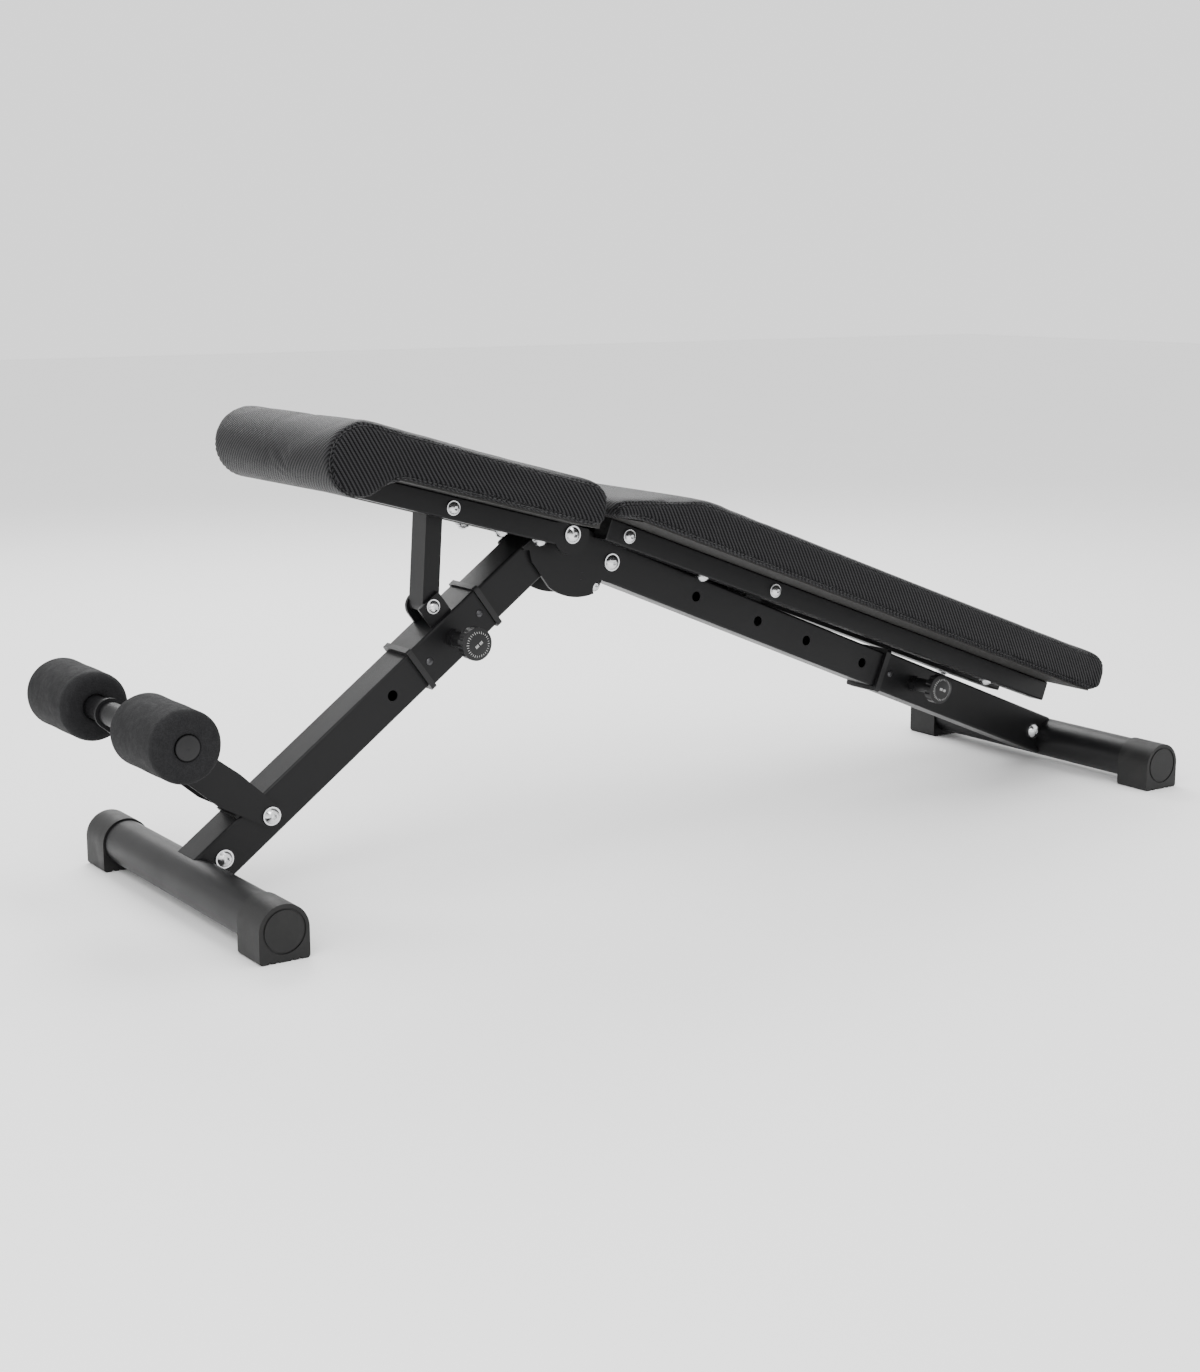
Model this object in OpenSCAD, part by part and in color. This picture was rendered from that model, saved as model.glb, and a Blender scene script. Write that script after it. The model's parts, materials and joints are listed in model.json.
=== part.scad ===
// Adjustable weight bench: seat with a front roll, long back pad, leg-hold rollers,
// a folding main beam with a telescopic rear leg, and two pull pins.
// X runs along the bench from the rollers to the rear leg, Y across it, Z up.
// The origin is on the floor, under the middle of the whole bench.
// "Near" is the -Y side, where both pull knobs are.

/* [Frame tubes] */
// Side of the square post and of the main tube
tube_w = 45; // [44:0.5:46]
// Side of the square sleeve and of the rear leg, which slide over them
outer_w = 50; // [49.6:0.1:51]
// Wall of the square tubes
wall = 2; // [1.6:0.1:2]
// Side of the four pad rails
rail_w = 25; // [22:0.5:25]
// Wall of the pad rails
rail_wall = 1.5; // [1.2:0.1:2]
// Diameter of both base tubes
base_d = 50; // [46:1:50]
// Half of the bench's width over the feet
half_w = 220; // [200:5:260]

/* [Side view] */
// Height of both base tubes' axes
base_z = 31; // [30:0.5:32]
// Slope of the front post
post_angle = 36.5; // [36:0.1:37]
// Main pivot, along X from the front base tube's axis
hub_dx = 513.3; // [512:0.1:514]
// Height of the main pivot
hub_z = 325; // [324:0.5:326]
// Slope of the main tube, down towards the rear
beam_angle = 22.3; // [22:0.1:22.6]
// Slope of the back pad
back_angle = 20.7; // [20.4:0.1:21]
// Seat pivot, along X from the front base tube's axis
seat_dx = 442.6; // [442:0.1:443]
// Height of the seat pivot
seat_z = 364.3; // [364:0.1:364.8]
// Slope of the seat, down towards the rear
seat_angle = 15.2; // [15:0.1:15.4]

/* [Seat and back] */
// Width of both pads
pad_w = 278; // [240:2:300]
// Thickness of the seat pad
seat_t = 48; // [40:1:52]
// Diameter of the roll at the seat's front
roll_d = 82; // [78:1:83]
// Thickness of the back pad
back_t = 47; // [44:1:52]
// Thickness of the boards inside the pads
board_t = 12; // [9:1:12]

/* [Leg rollers] */
// Roller axle, along X in front of the front base tube's axis
axle_dx = 69.9; // [66:0.1:74]
// Height of the roller axle
axle_z = 210; // [206:1:214]
// Diameter of the roller axle
axle_d = 25; // [20:0.5:26]
// Outer diameter of a foam roller
roller_d = 75; // [70:1:80]
// Length of a foam roller
roller_len = 110; // [90:1:112]

/* [Adjustment] */
// Distance between the seat's two positions, along the post
seat_step = 47.1; // [47:0.1:47.2]
// Diameter of the pins' holes
pin_hole = 12; // [10.4:0.1:13]
// Diameter across a pull knob's cap
knob_d = 36; // [28:1:38]

/* [Hidden] */
$fn = 48;

// Places in the side view
foot_r = 27;
rear_s = (hub_z - base_z) / sin(beam_angle);
rear_dx = hub_dx + rear_s * cos(beam_angle);
front_x = -(rear_dx + foot_r - axle_dx - roller_d / 2) / 2;
hub_x = front_x + hub_dx;
seat_x = front_x + seat_dx;
rear_x = front_x + rear_dx;
axle_x = front_x - axle_dx;

// Clearances: slide between parts of one body, and turning fits
gap = 0.05;
run = 0.3;
fit = 0.1;

// Places along the post, from the front base tube's axis
post_bolt_t = 36;
bracket_t = 101.8;
seat_pin_t = 381.5;
post_end_t = 536;
sleeve_t0 = 333;
sleeve_t1 = 431;
strut_t = 384.4;
strut_p = 42.6;
hub_left_t = 507;

// Places along the main tube, from the main pivot
beam_s0 = -35;
beam_s1 = 522;
leg_s0 = 452;
leg_s1 = 763;
leg_pin_s = 507;
leg_bolt_s = 739;
leg_stub_s = 716;
beam_holes = [134, 234, 316, 414, 507];

// Places along the seat, from the seat pivot
seat_rail_p = 10.5;
seat_rail_s0 = -264;
seat_rail_s1 = 12;
seat_end_s = -13;
roll_s = -318;
roll_p = 19.5;
strut_top_s = -156.7;
seat_bolt_s = [-84, -32];
seat_board_s0 = -272;
seat_board_s1 = -16;

// Places along the back pad, from the main pivot
back_p = 44.3;
back_rail_s0 = -33;
back_rail_s1 = 708;
back_end_s = 723;
back_bolt_s = [-5.7, 220];
back_pad_bolt_s = [120, 611];
hump_s = 32;

// Sizes across the bench
rail_y0 = 28;
rail_y = rail_y0 + rail_w / 2;
rail_y1 = rail_y0 + rail_w;
plate_t = 4;
plate_y0 = tube_w / 2 + run;
plate_y1 = plate_y0 + plate_t;
foot_len = 49;
foot_wall = 6;
roller_y0 = 60;
axle_half = 169;
strut_half = 15;
ear_y0 = strut_half + 0.4;
ear_y1 = ear_y0 + plate_t;
pad_half = pad_w / 2;
board_half = pad_half - 14;
corner_r = 3;

// Fasteners
m10 = 10;
m8 = 8;
washer_t = 2;
head_h = 5.5;

// ---------- frames of reference ----------

module in_post() {
    translate([front_x, 0, base_z]) rotate([0, -post_angle, 0]) children();
}

module in_beam() {
    translate([hub_x, 0, hub_z]) rotate([0, beam_angle, 0]) children();
}

module in_back() {
    translate([hub_x, 0, hub_z]) rotate([0, back_angle, 0]) children();
}

module in_seat() {
    translate([seat_x, 0, seat_z]) rotate([0, seat_angle, 0]) children();
}

// The point t along the post and p above its axis, as [x, z]
function post_point(t, p) = [
    front_x + t * cos(post_angle) - p * sin(post_angle),
    base_z + t * sin(post_angle) + p * cos(post_angle)
];

// ---------- shared shapes ----------

// Extrudes a side outline, drawn in x and z, from y0 to y1
module slab(y0, y1) {
    translate([0, y1, 0]) rotate([90, 0, 0]) linear_extrude(y1 - y0) children();
}

// A round bar across the bench
module rod(x, z, d, y0, y1) {
    translate([x, y1, z]) rotate([90, 0, 0]) cylinder(d = d, h = y1 - y0);
}

// A rectangle with round corners, centred
module round_rect(w, h, r) {
    square([w - 2 * r, h], center = true);
    square([w, h - 2 * r], center = true);
    for (sx = [-1, 1], sy = [-1, 1])
        translate([sx * (w / 2 - r), sy * (h / 2 - r)]) circle(r);
}

// A square tube along local X
module square_tube(x0, x1, w, t) {
    translate([x0, 0, 0]) rotate([90, 0, 90]) linear_extrude(x1 - x0)
        difference() {
            round_rect(w, w, corner_r);
            square(w - 2 * t, center = true);
        }
}

// Two circles joined by their outer tangents, in a side outline
module link(a, ra, b, rb) {
    span = norm(b - a);
    along = (b - a) / span;
    side = [-along[1], along[0]];
    lean = (ra - rb) / span;
    rise = sqrt(1 - lean * lean);
    up = along * lean + side * rise;
    down = along * lean - side * rise;
    translate(a) circle(ra);
    translate(b) circle(rb);
    polygon([a + up * ra, b + up * rb, b + down * rb, a + down * ra]);
}

// A washer, a button head or a nut on a bolt across the bench, facing -Y
module washer(x, z, y, d, outer) {
    difference() {
        rod(x, z, outer, y, y + washer_t - gap);
        rod(x, z, d + fit, y - 1, y + washer_t + 1);
    }
}

// A dome of base radius r and height h that rises along +Z, with a hexagon socket
module button_head(r, h, socket) {
    dome = (r * r + h * h) / (2 * h);
    difference() {
        intersection() {
            cylinder(r = r, h = h);
            translate([0, 0, h - dome]) sphere(dome);
        }
        translate([0, 0, h * 0.35]) cylinder(d = socket, h = h, $fn = 6);
    }
}

// A bolt with its head on the near side, two washers and a nut on the far side
module bolt_set(x, z, d, near_y, far_y) {
    outer = d * 2;
    rod(x, z, d, near_y - washer_t - 0.5, far_y + washer_t + d);
    translate([x, near_y - washer_t, z]) rotate([90, 0, 0]) button_head(d * 0.86, head_h, d * 0.66);
    washer(x, z, near_y - washer_t + gap, d, outer);
    washer(x, z, far_y + gap, d, outer);
    difference() {
        translate([x, far_y + washer_t + d * 0.8, z]) rotate([90, 0, 0])
            cylinder(d = d * 1.8, h = d * 0.8 - gap, $fn = 6);
        rod(x, z, d + fit, far_y, far_y + 2 * d);
    }
}

// A bolt up through a pad rail into the board, along local Z, with its head below
module pad_bolt(s, y, rail_bottom, board_top) {
    translate([s, y, rail_bottom - washer_t]) {
        mirror([0, 0, 1]) button_head(7, 4.5, 5.2);
        translate([0, 0, -0.5]) cylinder(d = m8, h = board_top - rail_bottom + washer_t);
    }
    translate([s, y, rail_bottom - washer_t + gap]) difference() {
        cylinder(d = 16, h = washer_t - 2 * gap);
        translate([0, 0, -1]) cylinder(d = m8 + fit, h = washer_t + 2);
    }
}

// ---------- bases and feet ----------

module base_tube(x) {
    half = half_w - foot_wall - run;
    difference() {
        rod(x, base_z, base_d, -half, half);
        rod(x, base_z, base_d - 5, -half - 1, half + 1);
        children();
    }
}

// A D-shaped rubber foot that caps one end of a base tube, side is -1 near, 1 far
module foot(x, side) {
    y_in = half_w - foot_len;
    sole_r = 4;
    mirror([0, side < 0 ? 1 : 0, 0]) difference() {
        slab(y_in, half_w) translate([x, 0]) {
            translate([0, base_z]) circle(foot_r);
            translate([-foot_r, sole_r]) square([2 * foot_r, base_z - sole_r]);
            translate([-foot_r + sole_r, 0]) square([2 * (foot_r - sole_r), base_z]);
            for (sx = [-1, 1]) translate([sx * (foot_r - sole_r), sole_r]) circle(sole_r);
        }
        rod(x, base_z, base_d + fit, y_in - 1, half_w - foot_wall);
        // Grooves along the sole
        for (dx = [-16, -8, 8, 16]) rod(x + dx, 0, 4, y_in - 1, half_w + 1);
        // A round groove in the end face
        difference() {
            rod(x, base_z, 46, half_w - 1.2, half_w + 1);
            rod(x, base_z, 42, half_w - 2, half_w + 2);
        }
    }
}

module front_base_tube() { color("#1b1b1d") base_tube(front_x); }

module front_foot_near() { color("#141414") foot(front_x, -1); }

module front_foot_far() { color("#141414") foot(front_x, 1); }

// Short square spigot welded on the base tube, inside the post
module front_base_stub() {
    color("#202022") difference() {
        in_post() difference() {
            square_stub(18, 66, tube_w - 2 * wall - 2 * fit);
            rod(post_bolt_t, 0, m10 + fit, -tube_w, tube_w);
        }
        rod(front_x, base_z, base_d + gap, -half_w, half_w);
    }
}

module square_stub(x0, x1, w) {
    translate([x0, 0, 0]) rotate([90, 0, 90]) linear_extrude(x1 - x0)
        difference() {
            square(w, center = true);
            square(w - 5, center = true);
        }
}

module rear_base_tube() { color("#1b1b1d") base_tube(rear_x); }

module rear_foot_near() { color("#141414") foot(rear_x, -1); }

module rear_foot_far() { color("#141414") foot(rear_x, 1); }

module rear_base_stub() {
    color("#202022") difference() {
        in_beam() difference() {
            square_stub(leg_stub_s, leg_s1, outer_w - 2 * wall - 2 * fit);
            rod(leg_bolt_s, 0, m10 + fit, -outer_w, outer_w);
        }
        rod(rear_x, base_z, base_d + gap, -half_w, half_w);
    }
}

// ---------- front post and hub ----------

module front_post() {
    post_t0 = 11;
    color("#1b1b1d") difference() {
        in_post() difference() {
            square_tube(post_t0, post_end_t, tube_w, wall);
            // The lower end is cut back under the tube
            slab(-tube_w, tube_w)
                polygon([[0, tube_w / 2 + 1], [post_t0, tube_w / 2 + 1], [32, -tube_w / 2 - 1],
                         [0, -tube_w / 2 - 1]]);
            rod(post_bolt_t, 0, m10 + fit, -tube_w, tube_w);
            rod(bracket_t, 0, m10 + fit, -tube_w, tube_w);
            for (n = [0:2]) rod(seat_pin_t - n * seat_step, 0, pin_hole, -tube_w, 0);
        }
        rod(front_x, base_z, base_d + gap, -half_w, half_w);
    }
}

module post_base_bolt() {
    color("silver") in_post() bolt_set(post_bolt_t, 0, m10, -tube_w / 2, tube_w / 2);
}

module hub_outline() {
    corner = post_point(hub_left_t + 3, tube_w / 2 - 3);
    low = post_point(hub_left_t, -60);
    seat_pivot = [seat_x, seat_z];
    hub = [hub_x, hub_z];
    arc_c = [hub_x - 42, hub_z + 32.4];
    arc_r = 68.7;
    link(corner, 3, seat_pivot, 15);
    link(seat_pivot, 15, hub, 23.5);
    intersection() {
        translate(arc_c) circle(arc_r, $fn = 96);
        polygon([post_point(hub_left_t, tube_w / 2 - 3), low, [hub_x - 16, hub_z - 50],
                 [hub_x - 16, hub_z - 20], hub, seat_pivot, corner]);
    }
}

module hub_plate(side) {
    notch = [hub_x - 16.2, hub_z - 29.5];
    y0 = side < 0 ? -plate_y1 : plate_y0;
    difference() {
        slab(y0, y0 + plate_t) difference() {
            hub_outline();
            translate(notch) circle(9);
            translate(notch + [0, -8]) circle(9);
        }
        rod(hub_x, hub_z, m10 + fit, -half_w, half_w);
        rod(seat_x, seat_z, m10 + fit, -half_w, half_w);
        in_beam() rod(stop_s, stop_p, stop_d + fit, -half_w, half_w);
    }
}

stop_s = -33;
stop_p = -27;
stop_d = 8;

module hub_plate_near() { color("#1b1b1d") hub_plate(-1); }

module hub_plate_far() { color("#1b1b1d") hub_plate(1); }

// Bar under the main tube's front end: the unfolded beam rests on it
module hub_stop_bar() {
    color("#202022") in_beam() rod(stop_s, stop_p, stop_d, -plate_y1, plate_y1);
}

module hub_pivot_bolt() {
    color("silver") bolt_set(hub_x, hub_z, m10, -plate_y1, plate_y1);
}

module seat_pivot_bolt() {
    color("silver") bolt_set(seat_x, seat_z, m10, -rail_y1 - run, rail_y1 + run);
}

module seat_pivot_spacers() {
    color("silver") difference() {
        union() {
            rod(seat_x, seat_z, 16, -plate_y0 + gap, plate_y0 - gap);
            for (side = [-1, 1])
                rod(seat_x, seat_z, 20, side * (plate_y1 + rail_y0) / 2 - 0.45,
                    side * (plate_y1 + rail_y0) / 2 + 0.45);
        }
        rod(seat_x, seat_z, m10 + fit, -rail_y1, rail_y1);
    }
}

module bracket_bolt() {
    color("silver") in_post() bolt_set(bracket_t, 0, m10, -plate_y1 - run, plate_y1 + run);
}

// ---------- leg rollers ----------

module roller_plate(side) {
    bolt = post_point(bracket_t, 0);
    knee = post_point(84.3, 55.4);
    y0 = side < 0 ? -plate_y1 : plate_y0;
    difference() {
        slab(y0, y0 + plate_t) {
            link(bolt, 12.5, knee, 20);
            link(knee, 20, [axle_x, axle_z], 16);
        }
        translate([bolt[0], 0, bolt[1]]) rod(0, 0, m10 + fit, -half_w, half_w);
        rod(axle_x, axle_z, axle_d + gap, -half_w, half_w);
    }
}

module roller_plate_near() { color("#1b1b1d") roller_plate(-1); }

module roller_plate_far() { color("#1b1b1d") roller_plate(1); }

// Bar between the plates that rests on top of the post
module roller_bracket_web() {
    web_t = bracket_t - 29;
    color("#202022") in_post()
        translate([web_t, -plate_y0 + gap, tube_w / 2 + run])
            cube([13, 2 * (plate_y0 - gap), plate_t]);
}

module roller_axle() {
    color("#1b1b1d") difference() {
        rod(axle_x, axle_z, axle_d, -axle_half, axle_half);
        rod(axle_x, axle_z, axle_d - 4, -axle_half - 1, axle_half + 1);
    }
}

module axle_plugs() {
    plug_h = 1.6;
    plug_dome = 50;
    color("#141414") for (side = [0, 1]) mirror([0, side, 0]) {
        rod(axle_x, axle_z, axle_d - 4 - fit, axle_half - 14, axle_half + 0.5);
        translate([axle_x, axle_half + gap, axle_z]) rotate([-90, 0, 0])
            intersection() {
                cylinder(d = axle_d - 1, h = plug_h);
                translate([0, 0, plug_h - plug_dome]) sphere(plug_dome);
            }
    }
}

// Foam roller with round rims
module foam_roller(side) {
    rim = 8;
    outer = roller_d / 2;
    inner = axle_d / 2 + gap;
    color("#1d1d1e") translate([axle_x, 0, axle_z]) mirror([0, side < 0 ? 1 : 0, 0])
        translate([0, roller_y0, 0]) rotate([-90, 0, 0]) rotate_extrude() {
            translate([inner, 0]) square([outer - rim - inner, roller_len]);
            translate([inner, rim]) square([outer - inner, roller_len - 2 * rim]);
            for (z = [rim, roller_len - rim]) translate([outer - rim, z]) circle(rim);
        }
}

module foam_roller_near() { foam_roller(-1); }

module foam_roller_far() { foam_roller(1); }

// ---------- seat sleeve, strut and pull pins ----------

module seat_sleeve() {
    ear_t0 = strut_t - 15;
    ear_top = 51;
    color("#1b1b1d") in_post() difference() {
        union() {
            square_tube(sleeve_t0, sleeve_t1, outer_w, wall);
            slab(-ear_y1, -ear_y0) translate([ear_t0, outer_w / 2 - 0.5])
                square([30, ear_top - outer_w / 2 + 0.5]);
            slab(ear_y0, ear_y1) {
                translate([ear_t0, outer_w / 2 - 0.5]) square([30, strut_p - outer_w / 2 - 6]);
                translate([strut_t, strut_p - 4]) circle(15);
            }
        }
        rod(strut_t, strut_p, m8 + fit, -outer_w, outer_w);
        rod(seat_pin_t, 0, pin_barrel_bore, -outer_w, 0);
    }
}

module collar(x0, x1) {
    translate([x0, 0, 0]) rotate([90, 0, 90]) linear_extrude(x1 - x0)
        difference() {
            round_rect(outer_w + 5, outer_w + 5, 4);
            round_rect(tube_w + 2 * run, tube_w + 2 * run, corner_r);
        }
}

// Plastic guides at both ends of the sleeve
module sleeve_collars() {
    color("#151515") in_post() {
        collar(sleeve_t0 - 6.5, sleeve_t0 - gap);
        collar(sleeve_t1 + gap, sleeve_t1 + 6.5);
    }
}

// Small pan-head screws on both sides of a sleeve
module side_screw(x) {
    for (side = [0, 1]) mirror([0, side, 0])
        translate([x, -outer_w / 2 - gap, 0]) rotate([90, 0, 0]) difference() {
            intersection() {
                cylinder(d = 8, h = 2);
                translate([0, 0, 2 - 6]) sphere(6);
            }
            translate([-2.4, -0.4, 1.1]) cube([4.8, 0.8, 2]);
            translate([-0.4, -2.4, 1.1]) cube([0.8, 4.8, 2]);
        }
}

module sleeve_screws() {
    color("#3a3a3c") in_post() for (t = [sleeve_t0 + 10, sleeve_t1 - 9]) side_screw(t);
}

module strut_lower_bolt() {
    color("silver") in_post() bolt_set(strut_t, strut_p, m8, -ear_y1 - gap, ear_y1 + gap);
}

pin_barrel_bore = 13;
pin_d = 9;
barrel_d = 17;
barrel_len = 31;
barrel_wall = 4;
pin_bore = pin_d + 2 * fit;

// Threaded barrel of a pull pin, from the sleeve's face outwards, with a hexagon base
module pin_barrel(s) {
    face = -outer_w / 2 - gap;
    difference() {
        union() {
            translate([s, face, 0]) rotate([90, 0, 0]) cylinder(d = 21, h = 8, $fn = 6);
            rod(s, 0, barrel_d, face - barrel_len, face);
            // The end of the barrel sits in the wall of the sleeve
            rod(s, 0, pin_barrel_bore - fit, face - 1, -outer_w / 2 + wall);
        }
        rod(s, 0, pin_bore, face - barrel_len - 1, 0);
        // Room for the spring and the pin's shoulder
        rod(s, 0, pin_barrel_bore, face - barrel_len + barrel_wall, face - 6);
    }
}

// Spring packed against the barrel's outer end
module pin_spring(s) {
    face = -outer_w / 2 - gap;
    wire = 1.2;
    y0 = face - barrel_len + barrel_wall + gap;
    translate([s, y0, 0]) rotate([-90, 0, 0])
        for (n = [0:3]) translate([0, 0, wire * (n + 0.5) + gap * n])
            rotate_extrude() translate([pin_barrel_bore / 2 - wire / 2 - fit, 0]) circle(d = wire);
}

// Steel pin with a shoulder; its tip stops just short of the inner tube's face
module pin_plunger(s) {
    face = -outer_w / 2 - gap;
    rod(s, 0, pin_d, face - barrel_len - 16, -tube_w / 2 - run);
    rod(s, 0, pin_barrel_bore - 4 * fit, face - 12, face - 8);
}

// Knob: a ribbed skirt and a domed cap
module pin_knob(s) {
    face = -outer_w / 2 - gap;
    y0 = face - barrel_len - 2;
    cap_h = 20;
    cap_dome = 44;
    translate([s, y0, 0]) rotate([90, 0, 0]) difference() {
        union() {
            cylinder(d = barrel_d + 3, h = 6);
            translate([0, 0, 5]) intersection() {
                cylinder(d = knob_d, h = cap_h - 5);
                translate([0, 0, cap_h - 5 - cap_dome]) sphere(cap_dome, $fn = 96);
            }
        }
        translate([0, 0, -1]) cylinder(d = pin_d + fit, h = 15);
        for (a = [0:30:330]) rotate([0, 0, a]) translate([knob_d / 2 + 1, 0, 3])
            cylinder(d = 5, h = cap_h - 8);
    }
}

module seat_pin_barrel() { color("#2a2a2c") in_post() pin_barrel(seat_pin_t); }

module seat_pin_spring() { color("silver") in_post() pin_spring(seat_pin_t); }

module seat_pin_plunger() { color("silver") in_post() pin_plunger(seat_pin_t); }

module seat_pin_knob() { color("#161616") in_post() pin_knob(seat_pin_t); }

module leg_pin_barrel() { color("#2a2a2c") in_beam() pin_barrel(leg_pin_s); }

module leg_pin_spring() { color("silver") in_beam() pin_spring(leg_pin_s); }

module leg_pin_plunger() { color("silver") in_beam() pin_plunger(leg_pin_s); }

module leg_pin_knob() { color("#161616") in_beam() pin_knob(leg_pin_s); }

// Rail centre line below the seat's underside
rail_mid_p = seat_rail_p - rail_w / 2;

// The strut's top end, as [x, z]
strut_top = [
    seat_x + strut_top_s * cos(seat_angle) + rail_mid_p * sin(seat_angle),
    seat_z - strut_top_s * sin(seat_angle) + rail_mid_p * cos(seat_angle)
];

// Rectangular tube from the sleeve to the seat, round at both ends; its upper hole is wide
module seat_strut() {
    low = post_point(strut_t, strut_p);
    end_r = 10;
    span = norm(strut_top - low);
    lean = atan2(strut_top[0] - low[0], strut_top[1] - low[1]);
    color("#1b1b1d") translate([low[0], 0, low[1]]) rotate([0, lean, 0]) difference() {
        slab(-strut_half, strut_half) link([0, 0], end_r, [0, span], end_r);
        translate([-end_r + wall, -strut_half + wall, -2 * end_r])
            cube([2 * (end_r - wall), 2 * (strut_half - wall), span + 4 * end_r]);
        rod(0, 0, m8 + fit, -half_w, half_w);
        rod(0, span, m8 + 4.6, -half_w, half_w);
    }
}

// ---------- seat ----------

module seat_rail(side) {
    lug_r = 23;
    mirror([0, side < 0 ? 1 : 0, 0]) in_seat() difference() {
        union() {
            translate([0, rail_y, rail_mid_p]) square_rail(seat_rail_s0, seat_rail_s1);
            // Lug of the seat pivot, flush with the rail's outer face
            intersection() {
                slab(rail_y1 - plate_t, rail_y1) circle(lug_r);
                translate([-2 * lug_r, 0, -2 * lug_r])
                    cube([4 * lug_r, half_w, 2 * lug_r + seat_rail_p - 0.5]);
            }
        }
        rod(0, 0, m10 + fit, 0, half_w);
        rod(strut_top_s, rail_mid_p, m8 + fit, 0, half_w);
        for (s = seat_bolt_s) translate([s, rail_y, -half_w]) cylinder(d = m8 + fit, h = 2 * half_w);
    }
}

module square_rail(x0, x1) {
    translate([x0, 0, 0]) rotate([90, 0, 90]) linear_extrude(x1 - x0)
        difference() {
            round_rect(rail_w, rail_w, 2);
            square(rail_w - 2 * rail_wall, center = true);
        }
}

module seat_rail_near() { color("#1b1b1d") seat_rail(-1); }

module seat_rail_far() { color("#1b1b1d") seat_rail(1); }

// Plastic plugs in the ends of a pair of rails; the rear ones may be flush with the rail
module rail_plugs(x0, x1, mid_p, rear_flange) {
    in_w = rail_w - 2 * rail_wall - 2 * fit;
    depth = 5;
    for (side = [-1, 1], e = [0, 1])
        translate([e == 0 ? x0 : x1, side * rail_y, mid_p]) rotate([90, 0, e == 0 ? -90 : 90]) {
            if (e == 0 || rear_flange)
                translate([0, 0, gap]) linear_extrude(2) round_rect(rail_w, rail_w, 2);
            translate([0, 0, -depth]) linear_extrude(depth + 2 * gap) square(in_w, center = true);
        }
}

module seat_rail_plugs() {
    color("#141414") in_seat() difference() {
        rail_plugs(seat_rail_s0, seat_rail_s1, rail_mid_p, false);
        // Room for the pivot's lugs inside the rails
        for (side = [0, 1]) mirror([0, side, 0])
            slab(rail_y1 - plate_t - fit, half_w) circle(2 * seat_rail_s1);
    }
}

module seat_board() {
    color("#2b2622") in_seat() difference() {
        translate([seat_board_s0, -board_half, seat_rail_p + gap])
            cube([seat_board_s1 - seat_board_s0, 2 * board_half, board_t - gap]);
        for (s = seat_bolt_s, side = [-1, 1])
            translate([s, side * rail_y, 0]) cylinder(d = m8 + fit, h = half_w);
    }
}

// Side outline of the seat pad: a thick roll in front and a flat slab behind it
module seat_outline() {
    end_r = 22;
    top = seat_rail_p + seat_t;
    translate([roll_s, roll_p]) circle(d = roll_d, $fn = 96);
    polygon([[roll_s, seat_rail_p], [seat_end_s, seat_rail_p], [seat_end_s, top - end_r],
             [seat_end_s - end_r, top - end_r], [seat_end_s - end_r, top], [roll_s, top]]);
    translate([seat_end_s - end_r, top - end_r]) circle(end_r);
}

// Room for a board in the underside of a pad
module board_room(s0, s1, base_p) {
    half = board_half + run;
    translate([s0 - run, -half, base_p - 1]) cube([s1 - s0 + 2 * run, 2 * half, board_t + 1 + run]);
}

module seat_pad() {
    color("#17171a") in_seat() difference() {
        slab(-pad_half, pad_half) seat_outline();
        board_room(seat_board_s0, seat_board_s1, seat_rail_p);
    }
}

module seat_pad_bolts() {
    color("silver") in_seat() for (s = seat_bolt_s, side = [-1, 1])
        pad_bolt(s, side * rail_y, seat_rail_p - rail_w, seat_rail_p + board_t - 1);
}

module strut_upper_bolt() {
    color("silver") in_seat()
        bolt_set(strut_top_s, rail_mid_p, m8, -rail_y1 - gap, rail_y1 + gap);
}

module strut_spacers() {
    color("silver") in_seat() for (side = [0, 1]) mirror([0, side, 0]) difference() {
        rod(strut_top_s, rail_mid_p, 14, strut_half + 0.4, rail_y0 - gap);
        rod(strut_top_s, rail_mid_p, m8 + fit, 0, rail_y1);
    }
}

// ---------- main beam and back ----------

lug_s = -4.2;
lug_p = -30;
lug_half = 15;

module main_tube() {
    color("#1b1b1d") in_beam() difference() {
        union() {
            square_tube(beam_s0, beam_s1, tube_w, wall);
            // Bush of the main pivot, and a lug under the front end
            rod(0, 0, 16, -tube_w / 2 + 0.5, tube_w / 2 - 0.5);
            slab(-lug_half, lug_half) {
                translate([lug_s, lug_p]) circle(7.5);
                translate([lug_s - 7.5, lug_p]) square([15, -lug_p - tube_w / 2 + 1]);
            }
        }
        rod(0, 0, m10 + fit, -tube_w, tube_w);
        rod(lug_s, lug_p, m8 + fit, -tube_w, tube_w);
        for (s = beam_holes) rod(s, 0, pin_hole, -tube_w, 0);
    }
}

// Bolt in the lug under the main tube's front end
module beam_lug_bolt() {
    color("silver") in_beam() {
        rod(lug_s, lug_p, m8, -lug_half - 1, lug_half + 6);
        translate([lug_s, -lug_half - gap, lug_p]) rotate([90, 0, 0]) button_head(7, 4.5, 5.2);
        difference() {
            translate([lug_s, lug_half + 6, lug_p]) rotate([90, 0, 0])
                cylinder(d = 14, h = 6 - gap, $fn = 6);
            rod(lug_s, lug_p, m8 + fit, 0, tube_w);
        }
    }
}

back_mid_p = back_p - rail_w / 2;
bracket_half = 19;

// Two saddles on top of the main tube that carry the back rails' bolts
module rail_brackets() {
    color("#202022") difference() {
        in_back() for (s = back_bolt_s, side = [-1, 1])
            slab(side * (bracket_half - 2) - 2, side * (bracket_half - 2) + 2) {
                translate([s, back_mid_p]) circle(9);
                translate([s - 12, 8]) square([24, back_mid_p - 8]);
            }
        in_beam() translate([-half_w, -tube_w, -half_w])
            cube([4 * half_w, 2 * tube_w, half_w + tube_w / 2]);
        in_back() for (s = back_bolt_s) rod(s, back_mid_p, m8 + fit, -tube_w, tube_w);
    }
}

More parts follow.
